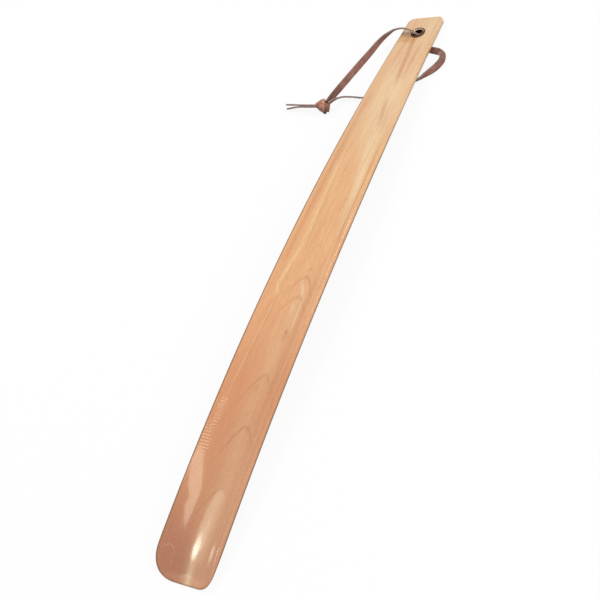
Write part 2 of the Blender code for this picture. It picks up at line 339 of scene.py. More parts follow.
lowerTailRoute = (
    (-59.42, -79.38, 9.13, -50), (-61.81, -78.98, 8.57, -47), (-71.77, -76.06, 6, -45),
    (-80.25, -73.99, 4.37, -46), (-86.71, -73.2, 3.29, -48), (-93.53, -73.87, 2.7, -48),
)


def laceTree():
    # Sweeps the lace's section along a line of points that carry the direction of its width
    board, wires, identifiers = growTree("lace_sweep", lace, (
        "width", "thickness", "edgeRound", "edgeSteps", "faceCuts", "wander", "wanderScale", "wanderSeed"))
    line = board.node("GeometryNodeMeshToCurve", None, {0: wires["Geometry"]})
    wide = board.node("GeometryNodeInputNamedAttribute", {"data_type": "FLOAT_VECTOR"}, {0: "laceWide"})
    turned = board.node("GeometryNodeSetCurveNormal", {"mode": "FREE"}, {"Curve": line, "Normal": wide})
    reach = board.node("GeometryNodeSplineParameter", None, None, "Length")
    marked = board.store(turned, "laceAlong", reach)
    section = board.node("GeometryNodeCurvePrimitiveQuadrilateral", {"mode": "RECTANGLE"},
                         {"Width": wires["width"], "Height": wires["thickness"]})
    rounded = board.node("GeometryNodeFilletCurve", {"mode": "POLY"},
                         {"Curve": section, "Count": wires["edgeSteps"], "Radius": wires["edgeRound"]})
    cut = board.node("GeometryNodeSubdivideCurve", None, {"Curve": rounded, "Cuts": wires["faceCuts"]})
    sides = board.split(board.node("GeometryNodeInputPosition"), "X")[0]
    profile = board.store(cut, "laceAcross", sides)
    swept = board.node("GeometryNodeCurveToMesh", None,
                       {"Curve": marked, "Profile Curve": profile, "Fill Caps": True})
    place = board.node("GeometryNodeInputPosition")
    stir = board.node("ShaderNodeTexNoise", {"noise_dimensions": "4D"},
                      {"Vector": place, "W": wires["wanderSeed"], "Scale": wires["wanderScale"],
                       "Detail": 2.0}, "Color")
    shift = board.node("ShaderNodeVectorMath", {"operation": "SUBTRACT"}, {0: stir, 1: (0.5, 0.5, 0.5)})
    shift = board.node("ShaderNodeVectorMath", {"operation": "SCALE"}, {0: shift, "Scale": wires["wander"]})
    moved = board.node("GeometryNodeSetPosition", None, {"Geometry": swept, "Offset": shift})
    closeTree(board, moved, wires["finish"])
    return board, identifiers


def smoothRoute(points, steps):
    # Points of a smooth curve through the route, and the lean at each
    ends = [tuple(2.0 * a - b for a, b in zip(points[0], points[1]))]
    ends += [tuple(float(a) for a in point) for point in points]
    ends.append(tuple(2.0 * a - b for a, b in zip(points[-1], points[-2])))
    fine = []
    for i in range(1, len(ends) - 2):
        before, start, end, after = (Vector(ends[i + k]) for k in (-1, 0, 1, 2))
        for step in range(steps):
            share = step / steps
            fine.append(start + 0.5 * share * (end - before + share * (
                2.0 * before - 5.0 * start + 4.0 * end - after
                + share * (3.0 * (start - end) + after - before))))
    fine.append(Vector(ends[-2]))
    return fine


def laceLine(route):
    # Places and width directions, in metres, along a route
    fine = smoothRoute(route, lace["routeSteps"])
    places = [eyeletFoot + Vector(point[:3]) * mm for point in fine]
    wides = []
    for i, point in enumerate(fine):
        ahead = places[min(i + 1, len(places) - 1)] - places[max(i - 1, 0)]
        ahead.normalize()
        side = ahead.cross(Vector((0.0, 0.0, 1.0))).normalized()
        up = side.cross(ahead)
        lean = math.radians(point.w)
        wides.append(up * math.cos(lean) + side * math.sin(lean))
    return places, wides


def linePiece(name, places, wides):
    mesh = bpy.data.meshes.new(name)
    mesh.from_pydata(places, [(i, i + 1) for i in range(len(places) - 1)], [])
    attribute = mesh.attributes.new("laceWide", "FLOAT_VECTOR", "POINT")
    attribute.data.foreach_set("vector", [part for wide in wides for part in wide])
    return addPiece(name, mesh)


def sweepLace(name, places, wides, finish, **changes):
    piece = linePiece(name, places, wides)
    runTree(piece, *laceSweep, {**lace, **changes, "finish": finish})
    smoothPiece(piece, lace["smoothAngle"])
    return piece


leather = {
    "face": shade(160, 113, 99),
    "worn": shade(178, 133, 117),
    "deep": shade(130, 88, 77),
    "edge": shade(152, 137, 128),
    # the knot's colours are the lace's leather with painted light: paler, as if the knot were lit more than
    # the strands
    "knotPaintedLitFace": shade(202, 143, 120),
    "knotPaintedLitWorn": shade(214, 160, 138),
    "knotPaintedLitDeep": shade(156, 104, 87),
    "shaded": shade(96, 66, 58),
    # lengths of lace painted darker, mostly painted shade in the eyelet's hole and on the back loop's first
    # leg and crease: start and end in millimetres from the eyelet, how much and how softly
    "frontShadeStretches": ((-9.0, 2.0, 0.97, 1.5), (90.0, 125.0, 0.55, 2.0)),
    "backShadeStretches": ((24.0, 32.0, 0.30, 3.0), (30.2, 32.4, 0.90, 0.7), (36.0, 53.0, 0.36, 2.0)),
    "mottleScale": 260.0,
    "mottleBand": (0.35, 0.65),
    "grainScale": 1500.0,
    "grainBand": (0.5, 0.75),
    "grainHeight": 0.00006,
    "edgeBand": (0.00035, 0.00005),  # in from the cut edge
    "edgeShare": 0.7,
    "wornShare": 0.55,
    "roughness": 0.62,
}


def leatherFinish(name, face, worn, deep, shadeStretches=()):
    # Napped leather: soft mottling, fine grain, and a paler grey cut edge
    board = finishBoard(name)
    place = board.objectPlace()
    mottle = board.noise(place, leather["mottleScale"], 3.0, 0.6)
    grain = board.noise(place, leather["grainScale"], 4.0, 0.65)
    start, end = (lace["width"] / 2.0 - inward for inward in leather["edgeBand"])
    edge = board.band(board.maths("ABSOLUTE", board.mark("laceAcross")), start, end)
    colour = board.blend(board.band(mottle, *leather["mottleBand"]), deep, face)
    colour = board.blend(board.band(grain, *leather["grainBand"]) * leather["wornShare"], colour, worn)
    colour = board.blend(edge * leather["edgeShare"], colour, leather["edge"])
    along = board.mark("laceAlong") * perMetre
    # painted shade: toward the shaded colour where the knot is marked, and over each strand's listed lengths
    laceShade = board.strongest([board.mark("knotTone")] + [
        board.stretch(along, start, end, soft) * share for start, end, share, soft in shadeStretches])
    colour = board.blend(laceShade, colour, leather["shaded"])
    bump = board.node("ShaderNodeBump", None, {"Strength": 0.5, "Distance": leather["grainHeight"],
                                               "Height": grain + mottle * 0.8})
    setShader(board, Base_Color=colour, Roughness=leather["roughness"] + grain * 0.15, Normal=bump)
    return board.material


laceSweep = laceTree()
laceTones = [leather[name] for name in ("face", "worn", "deep")]
laceFinish = leatherFinish("brown_leather", *laceTones)
frontFinish = leatherFinish("brown_leather_front_painted_shade", *laceTones, leather["frontShadeStretches"])
backFinish = leatherFinish("brown_leather_back_painted_shade", *laceTones, leather["backShadeStretches"])
knotLitTones = [leather[name] for name in ("knotPaintedLitFace", "knotPaintedLitWorn", "knotPaintedLitDeep")]
knotLitFinish = leatherFinish("brown_leather_knot", *knotLitTones)

frontPlaces, frontWides = laceLine(frontRoute)
backPlaces, backWides = laceLine(backRoute)
frontStrand = sweepLace("lace_front_strand", frontPlaces, frontWides, frontFinish)
backStrand = sweepLace("lace_back_strand", backPlaces, backWides, backFinish, wanderSeed=8.1)
upperTail = sweepLace("lace_upper_tail", *laceLine(upperTailRoute), laceFinish, wanderSeed=1.3)
lowerTail = sweepLace("lace_lower_tail", *laceLine(lowerTailRoute), laceFinish, wanderSeed=5.9)
print("lace strands and tails swept")


# Knot

knot = {
    # middle of the bell's rim, placed as the routes are, and the knot's own directions: along its axis,
    # down the picture, and away from the camera, which is at right angles to both
    "rim": (-56.88, -76.45, 7.42),
    "axis": (0.8340, 0.2751, -0.4783),
    "down": (-0.1227, -0.7527, -0.6468),
    # each wrap: place along the axis, down and away in millimetres, radius, flare, width, thickness,
    # start in degrees from away, turns and painted shade
    "wraps": (
        (-3.05, 0.0, 0.0, 2.75, 38.0, 5.4, 1.3, 150.0, 1.12, 0.0),
        (-0.15, 0.0, 0.0, 4.35, 26.0, 3.3, 1.7, 205.0, 1.08, 0.0),
        (3.75, 0.6, 1.4, 3.45, -3.0, 3.6, 1.5, 170.0, 1.15, 0.32),
    ),
    "rise": 0.5,  # how much further out a wrap ends than it starts
    "wrapSteps": 72,
    "edgeShare": 0.4,  # rounding of the edges, as a share of the thickness
    # each filling: its shift down and away, its painted shade, then place along the axis and radius of each
    # ring
    "cores": (
        (0.0, 0.0, 0.0, ((-5.9, 1.0), (-5.6, 1.5), (-5.0, 1.7), (-3.8, 2.4), (-2.2, 3.4), (-0.6, 4.7),
                         (0.3, 5.2), (1.0, 5.2), (1.35, 4.8), (1.5, 4.0))),
        (0.4, 0.8, 0.70, ((0.9, 3.9), (1.2, 4.5), (2.0, 4.4), (2.4, 3.8))),
        (0.6, 1.4, 0.32, ((0.8, 3.1), (1.8, 3.6), (3.0, 3.8), (4.6, 3.8), (5.2, 3.5), (5.6, 2.8),
                          (5.8, 1.7))),
    ),
    "coreSides": 40,
    # short doubled end below the bell: along, down and away at its start and end, width, thickness, painted
    # shade
    "nub": ((2.1, 3.0, 1.0), (2.35, 6.4, 1.3), 2.5, 2.0, 1.0),
    "nubSteps": 8,
}


def knotFrame():
    axis = Vector(knot["axis"]).normalized()
    away = axis.cross(Vector(knot["down"])).normalized()
    return axis, away.cross(axis), away


def knotPlace(along, below, behind):
    axis, down, away = knotFrame()
    return eyeletFoot + Vector(knot["rim"]) * mm + (axis * along + down * below + away * behind) * mm


def knotLace(name, places, wides, width, thickness, **changes):
    return sweepLace(name, places, wides, knotLitFinish, width=width * mm, thickness=thickness * mm,
                     edgeRound=thickness * knot["edgeShare"] * mm, **changes)


def wrapPiece(number, wrap):
    along, below, behind, radius, flare, width, thickness, start, turns, tone = wrap
    axis, down, away = knotFrame()
    flare = math.radians(flare)
    places, wides = [], []
    for step in range(knot["wrapSteps"] + 1):
        share = step / knot["wrapSteps"]
        angle = math.radians(start + 360.0 * turns * share)
        spoke = away * math.cos(angle) + down * math.sin(angle)
        reach = radius + knot["rise"] * (share - 0.5)
        places.append(knotPlace(along, below, behind) + spoke * reach * mm)
        wides.append(axis * math.cos(flare) + spoke * math.sin(flare))
    return knotLace("knot_wrap_%d" % number, places, wides, width, thickness, wanderSeed=2.0 + number), tone


def corePiece(number, below, behind, tone, profile):
    axis, down, away = knotFrame()
    shape = bmesh.new()
    spokes = [down * math.cos(angle) + away * math.sin(angle) for angle in circle(knot["coreSides"])]
    rings = [[shape.verts.new(knotPlace(along, below, behind) + spoke * radius * mm) for spoke in spokes]
             for along, radius in profile]
    joinRings(shape, rings, capped=True)
    bmesh.ops.recalc_face_normals(shape, faces=shape.faces)
    piece = keepShape(shape, "knot_core_%d" % number)
    piece.data.attributes.new("laceAcross", "FLOAT", "POINT")
    return piece, tone


def joinPieces(name, pieces, finish):
    # One mesh from several, each with its painted shade, with the lace's own attribute kept
    verts, faces, across, paintedShades = [], [], [], []
    for piece, tone in pieces:
        base = len(verts)
        mesh = piece.data
        verts += [vertex.co.copy() for vertex in mesh.vertices]
        faces += [[base + i for i in face.vertices] for face in mesh.polygons]
        values = [0.0] * len(mesh.vertices)
        mesh.attributes["laceAcross"].data.foreach_get("value", values)
        across += values
        paintedShades += [tone] * len(values)
        bpy.data.objects.remove(piece, do_unlink=True)
    mesh = bpy.data.meshes.new(name)
    mesh.from_pydata(verts, [], faces)
    markPoints(mesh, "laceAcross", across)
    # painted shade: the knot's fillings, second wrap and nub darkened where they sit in its grooves and under
    # its bell
    markPoints(mesh, "knotTone", paintedShades)
    mesh.materials.append(finish)
    return addPiece(name, mesh)


def buildKnot():
    pieces = [wrapPiece(number, wrap) for number, wrap in enumerate(knot["wraps"])]
    pieces += [corePiece(number, *core) for number, core in enumerate(knot["cores"])]
    start, end, width, thickness, tone = knot["nub"]
    steps = knot["nubSteps"]
    places = [knotPlace(*start).lerp(knotPlace(*end), step / steps) for step in range(steps + 1)]
    wides = [knotFrame()[0]] * len(places)
    pieces.append((knotLace("knot_nub", places, wides, width, thickness), tone))
    piece = joinPieces("lace_knot", pieces, knotLitFinish)
    smoothPiece(piece, lace["smoothAngle"])
    return piece


laceKnot = buildKnot()
print("knot tied")

for piece, node, slot in ((frontStrand, "thong_front_strand", "thong_leather"),
                          (backStrand, "thong_back_strand", "thong_leather"),
                          (upperTail, "thong_upper_tail", "thong_leather"),
                          (lowerTail, "thong_lower_tail", "thong_leather"),
                          (laceKnot, "thong_knot", "knot_leather")):
    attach(piece, "thong")
    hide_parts(node)


# Horn: a flat board with rounded edges and the eyelet's bore, bent by a tree into its arch and trough

horn = {
    "length": 0.480,  # along the arch
    "archRadius": 1.965,
    "seatLength": 0.040,  # straight part at the handle's end
    "widths": (0.0460, 0.0460, 0.0409, 0.0303),
    "widthShares": (0.0, 0.35, 0.68, 1.0),
    "thickness": 0.0042,
    "tipThickness": 0.0024,
    "tipTaper": 0.026,
    "troughDepth": 0.0024,
    "troughFadeStart": 0.05,  # shares of the length
    "troughFadeEnd": 0.80,
    "edgeRadius": 0.0011,
    "leftCorner": (0.0199, 0.0196, 2.4),  # the tip's corners: length, inset and power of the curve
    "rightCorner": (0.0138, 0.0099, 3.0),
    "handleCorner": 0.0054,
    "cornerRows": 48,
    "bodyRows": 190,
    "handleRows": 16,
    "columns": 34,
    "edgeSteps": 8,
    "restTurn": 0.1231559,
    "restPlace": (0.0, -0.2394758, 0.0010628),
    "eyeletAlong": 0.4591,
    "boreRadius": 0.0045,
    "recessRadius": 0.00535,
    "recessDepth": 0.00067,
    "boreSides": 96,
    "sliver": 0.000002,  # edges under this length go after the bore is cut
    "slopeStep": 0.0001,  # over which the outline's slope is read
    "smoothAngle": 40.0,
}


def fade(start, end, value):
    share = min(max((value - start) / (end - start), 0.0), 1.0)
    return share * share * (3.0 - 2.0 * share)


def naturalSpline(stations, values):
    count = len(stations)
    gaps = [stations[i + 1] - stations[i] for i in range(count - 1)]
    bends = [0.0] * count
    sweep = [0.0] * count
    for i in range(1, count - 1):
        rise = (values[i + 1] - values[i]) / gaps[i] - (values[i] - values[i - 1]) / gaps[i - 1]
        pivot = 2.0 * (gaps[i] + gaps[i - 1]) - gaps[i - 1] * sweep[i - 1]
        sweep[i] = gaps[i] / pivot
        bends[i] = (6.0 * rise - gaps[i - 1] * bends[i - 1]) / pivot
    for i in range(count - 2, 0, -1):
        bends[i] -= sweep[i] * bends[i + 1]

    def read(place):
        i = 0
        while i < count - 2 and place > stations[i + 1]:
            i += 1
        after = (place - stations[i]) / gaps[i]
        before = 1.0 - after
        curl = (before ** 3 - before) * bends[i] + (after ** 3 - after) * bends[i + 1]
        return before * values[i] + after * values[i + 1] + curl * gaps[i] ** 2 / 6.0

    return read


fullWidth = naturalSpline(horn["widthShares"], horn["widths"])


def cornerInset(along, length, inset, power):
    reach = min(max(1.0 - along / length, 0.0), 1.0)
    return inset * (1.0 - (1.0 - reach ** power) ** (1.0 / power))


def halfWidth(along, side, margin):
    half = fullWidth(along / horn["length"]) / 2.0 - margin
    length, inset, power = horn["leftCorner"] if side < 0 else horn["rightCorner"]
    half -= cornerInset(along - margin, length - margin, inset - margin, power)
    fromEnd = horn["length"] - margin - along
    endRound = max(horn["handleCorner"] - margin, horn["edgeRadius"])
    return half - cornerInset(fromEnd, endRound, endRound, 2.0)


def boardThickness(along):
    gained = horn["thickness"] - horn["tipThickness"]
    return horn["tipThickness"] + gained * fade(0.0, horn["tipTaper"], along)


def boardRows():
    first = horn["edgeRadius"]
    last = horn["length"] - first
    tipEnd = max(horn["leftCorner"][0], horn["rightCorner"][0]) + first
    handleStart = last - horn["handleCorner"]
    quarter = math.pi / 2.0
    rows = [first + (tipEnd - first) * (1.0 - math.cos(quarter * i / horn["cornerRows"]))
            for i in range(horn["cornerRows"])]
    rows += [tipEnd + (handleStart - tipEnd) * i / horn["bodyRows"] for i in range(horn["bodyRows"])]
    rows += [last - (last - handleStart) * (1.0 - math.sin(quarter * i / horn["handleRows"]))
             for i in range(horn["handleRows"] + 1)]
    return rows


def flatBoard():
    # The board before it is bent: across is X, along is Y and the front faces up
    columns = horn["columns"]
    grid = []
    for along in boardRows():
        left = -halfWidth(along, -1, horn["edgeRadius"])
        right = halfWidth(along, 1, horn["edgeRadius"])
        grid.append([(along, left + (right - left) * i / columns) for i in range(columns + 1)])
    shape = bmesh.new()
    faces = {}
    for side in (1, -1):
        faces[side] = [[shape.verts.new((across, along, side * boardThickness(along) / 2.0))
                        for along, across in row] for row in grid]
        for near, far in zip(faces[side], faces[side][1:]):
            for i in range(columns):
                shape.faces.new((near[i], near[i + 1], far[i + 1], far[i]))
    lastRow = len(grid) - 1
    border = [(0, column) for column in range(columns)]
    border += [(row, columns) for row in range(lastRow)]
    border += [(lastRow, column) for column in range(columns, 0, -1)]
    border += [(row, 0) for row in range(lastRow, 0, -1)]
    plan = [Vector(grid[row][column]) for row, column in border]
    outward = []
    for before, here, after in zip(plan[-1:] + plan, plan, plan[1:] + plan[:1]):
        first, second = (Vector((-side.y, side.x)).normalized() for side in (here - before, after - here))
        outward.append((first + second).normalized())
    quarter = [math.pi / 2.0 * step / horn["edgeSteps"] for step in range(horn["edgeSteps"] + 1)]
    rings = []
    for side, angles in ((1, quarter), (-1, quarter[::-1])):
        for angle in angles:
            if angle == 0.0:
                rings.append([faces[side][row][column] for row, column in border])
                continue
            reach = horn["edgeRadius"] * math.sin(angle)
            drop = horn["edgeRadius"] * (1.0 - math.cos(angle))
            rings.append([shape.verts.new((point.y + normal.y * reach, point.x + normal.x * reach,
                                           side * (boardThickness(point.x) / 2.0 - drop)))
                          for point, normal in zip(plan, outward)])
    joinRings(shape, rings)
    bmesh.ops.recalc_face_normals(shape, faces=shape.faces)
    return keepShape(shape, "horn_board")


def boreCutter():
    back = -horn["thickness"] / 2.0
    step = back + horn["recessDepth"]
    overrun = 0.002
    levels = ((horn["recessRadius"], back - overrun), (horn["recessRadius"], step),
              (horn["boreRadius"], step), (horn["boreRadius"], overrun - back))
    shape = bmesh.new()
    rings = []
    for radius, height in levels:
        ring = [(radius * math.cos(angle), radius * math.sin(angle)) for angle in circle(horn["boreSides"])]
        rings.append([shape.verts.new((x, horn["eyeletAlong"] + y, height)) for x, y in ring])
    joinRings(shape, rings, capped=True)
    return keepShape(shape, "bore_cutter")


def cutBore(piece):
    cutter = boreCutter()
    cut = piece.modifiers.new("bore", "BOOLEAN")
    cut.object = cutter
    cut.operation = "DIFFERENCE"
    cut.solver = "EXACT"
    settle(piece, cut)
    bpy.data.objects.remove(cutter, do_unlink=True)
    shape = bmesh.new()
    shape.from_mesh(piece.data)
    bmesh.ops.dissolve_degenerate(shape, dist=horn["sliver"], edges=shape.edges)
    crowded = [face for face in shape.faces if len(face.verts) > 4]
    bmesh.ops.triangulate(shape, faces=crowded, ngon_method="BEAUTY")
    shape.to_mesh(piece.data)
    shape.free()


def bendTree():
    # Bends a flat board into the horn: troughed across, arched along, and laid down on the surface
    board, wires, identifiers = growTree("board_bend", horn, (
        "length", "archRadius", "seatLength", "troughDepth", "troughFadeStart", "troughFadeEnd", "restTurn",
        "restPlace"))
    flat = board.node("GeometryNodeInputPosition")
    marked = board.store(wires["Geometry"], "boardPlace", flat, "FLOAT_VECTOR")
    across, along, out = board.split(flat)
    width = board.node("GeometryNodeInputNamedAttribute", {"data_type": "FLOAT"}, {0: "boardWidth"})
    share = along / wires["length"]
    fading = board.band(share, wires["troughFadeStart"], wires["troughFadeEnd"])
    lift = wires["troughDepth"] * (1.0 - fading) * (2.0 * across / width) ** 2.0
    arcLength = wires["length"] - wires["seatLength"]
    turned = board.maths("MINIMUM", along, arcLength) / wires["archRadius"]
    straight = board.maths("MAXIMUM", along - arcLength, 0.0)
    sine = board.maths("SINE", turned)
    cosine = board.maths("COSINE", turned)
    fall = 2.0 * board.maths("SINE", turned * 0.5) ** 2.0
    raised = out + lift
    bent = board.vector(across, wires["archRadius"] * sine + straight * cosine + raised * sine,
                        raised * cosine - wires["archRadius"] * fall - straight * sine)
    moved = board.node("GeometryNodeSetPosition", None, {"Geometry": marked, "Position": bent})
    laid = board.node("GeometryNodeTransform", None,
                      {"Geometry": moved, "Translation": wires["restPlace"],
                       "Rotation": board.vector(wires["restTurn"], 0.0, 0.0)})
    closeTree(board, laid, wires["finish"])
    return board, identifiers


wood = {
    # share of the length, and the plain colour of the wood there
    "lengthwise": ((0.0, (184, 122, 92)), (0.13, (208, 144, 102)), (0.27, (219, 151, 104)),
                   (0.40, (234, 174, 123)), (0.50, (237, 180, 127)), (0.63, (238, 186, 130)),
                   (0.76, (237, 195, 146)), (0.88, (235, 191, 142)), (0.99, (230, 192, 144))),
    "flame": (205, 132, 84),
    "pale": (244, 217, 172),
    "line": (176, 108, 66),
    "red": (158, 96, 74),
    "warm": (232, 176, 132),
    # painted shade laid over the left arris and low on the walls
    "edge": (140, 110, 86),
    # unevenness of the wood: scale across and along per millimetre, detail and roughness
    "fields": {
        "drift": (0.05, 0.012, 2.0, 0.5), "waver": (0.16, 0.03, 3.0, 0.5), "fibre": (0.8, 0.035, 4.0, 0.65),
        "fleck": (1.6, 0.45, 3.0, 0.7), "mottle": (0.11, 0.02, 3.0, 0.6), "needle": (2.0, 0.02, 3.0, 0.6),
        "wave": (0.10, 0.035, 1.0, 0.4)},
    # zones in millimetres along, across or in from the edge: where each starts to show or fade, and where
    # it is full or gone
    "zones": {
        "heartEnd": (150.0, 260.0), "sapStart": (228.0, 290.0), "sapThins": (400.0, 430.0),
        "tipAlong": (0.0, 46.0), "tipAcross": (-4.0, 6.0), "warmAcross": (3.0, 15.0),
        "warmAlong": (60.0, 130.0), "handle": (320.0, 420.0), "shadeSide": (2.0, 6.0),
        "shadeTip": (1.0, 5.0), "shadeIn": (1.16, 1.74), "shadeFades": (320.0, 400.0),
        "chatterStart": (74.0, 90.0), "chatterEnd": (106.0, 122.0), "chatterAcross": (-12.0, -7.0),
        "dullTip": (3.0, 6.5)},
    # how strongly each tint is laid over the wood
    "shares": {"heart": 0.20, "sap": 0.72, "mottle": 0.16, "rings": 0.13, "tip": 0.42, "warm": 0.36},
    # what changes along the board: its value at first, the change, and where that starts and ends
    "sapMiddle": (17.5, -13.0, 235.0, 400.0),
    "sapHalf": (3.6, 6.5, 300.0, 390.0),
    "ringBend": (2.4, 9.0, 190.0, 330.0),
    "mottleBand": (0.35, 0.7),
    "heart": (7.0, 7.5, 6.0),  # middle across, half width and sway
    "rings": (6.5, 15.0, 0.16),  # middle across, roundness and rings per millimetre
    # growth arches in millimetres: apex along, middle across, roundness, spread, half width, strength,
    # how far down they show, tint
    "arches": (
        (60.0, 7.5, 15.0, 2.3, 1.3, 0.40, 30.0, "line"), (101.0, 7.8, 14.0, 2.4, 1.3, 0.62, 32.0, "line"),
        (137.0, 6.5, 18.0, 2.8, 1.5, 0.30, 30.0, "line"), (196.5, 6.8, 9.0, 1.9, 1.3, 0.38, 24.0, "line"),
        # the last arch, pale, near the tip's left edge, is a painted reflection
        (212.0, 6.2, 25.0, 3.0, 1.2, 0.55, 32.0, "line"), (20.3, -14.5, 2.0, 1.0, 0.5, 0.45, 4.5, "pale")),
    # streaks in millimetres: start along and across, end along and across, half width, strength, tint
    "streaks": (
        (402, 4.0, 455, -1.0, 2.0, 0.75, "flame"), (402, 8.5, 442, 7.0, 1.3, 0.55, "flame"),
        (352, 9.0, 378, 5.5, 0.7, 0.40, "line"), (356, 6.5, 380, 3.5, 1.0, 0.55, "flame"),
        (350, 11.5, 372, 9.0, 0.5, 0.38, "line"), (425, -9.0, 458, -6.0, 2.2, 0.35, "flame"),
        (225, -16.5, 385, -13.5, 2.4, 0.55, "flame"), (240, 19.0, 330, 17.5, 0.9, 0.50, "flame"),
        (242, -7.2, 316, -9.8, 1.8, 0.34, "pale"), (238, -5.2, 305, -7.4, 1.0, 0.20, "line"),
        (206, -12.6, 240, -8.2, 1.1, 0.60, "pale"), (198, -10.5, 207, -14.0, 1.1, 0.55, "pale"),
        (172, 11.8, 197, 11.0, 1.1, 0.55, "pale"), (195, 10.5, 209, 5.0, 1.2, 0.60, "pale"),
        (184, 6.6, 191, 6.0, 0.8, 0.55, "pale"), (122, -15.5, 192, -10.5, 0.8, 0.24, "pale"),
        (124, -14.2, 196, -9.2, 0.6, 0.22, "line"), (70, 17.0, 210, 16.0, 2.0, 0.25, "flame"),
        # the pale streak at the tip, from -8 to 18 mm along, is a painted highlight
        (20, 18.6, 240, 18.2, 0.5, 0.22, "pale"), (-8, 7.4, 18, 5.0, 2.5, 0.50, "pale"),
        (60, 14.6, 150, 14.2, 0.5, 0.25, "line")),
    # pin knots in millimetres: along, across, size, strength
    "knots": ((169.5, 8.7, 0.9, 0.75), (166.0, 9.4, 2.6, 0.28), (188.0, -3.5, 0.6, 0.35),
              (127.0, 3.5, 1.8, 0.20)),
    # fine grain: field, where it starts and is full, share and tint, the needles in the handle alone
    "grain": (("fibre", 0.40, 0.70, 0.30, "flame"), ("fleck", 0.52, 0.68, 0.22, "line"),
              ("fleck", 0.46, 0.32, 0.08, "pale"), ("needle", 0.52, 0.64, 0.34, "flame"),
              ("needle", 0.47, 0.36, 0.30, "pale")),
    "edgeShade": 0.8,
    "wallBand": (0.47, 0.60),  # share of the thickness down the walls
    "roughness": 0.05,
    "tipRoughness": 0.3,
    "waveHeight": 0.00006,
    "chatter": (2.9, 3.0, 0.16),  # turn per millimetre, sway and height
}


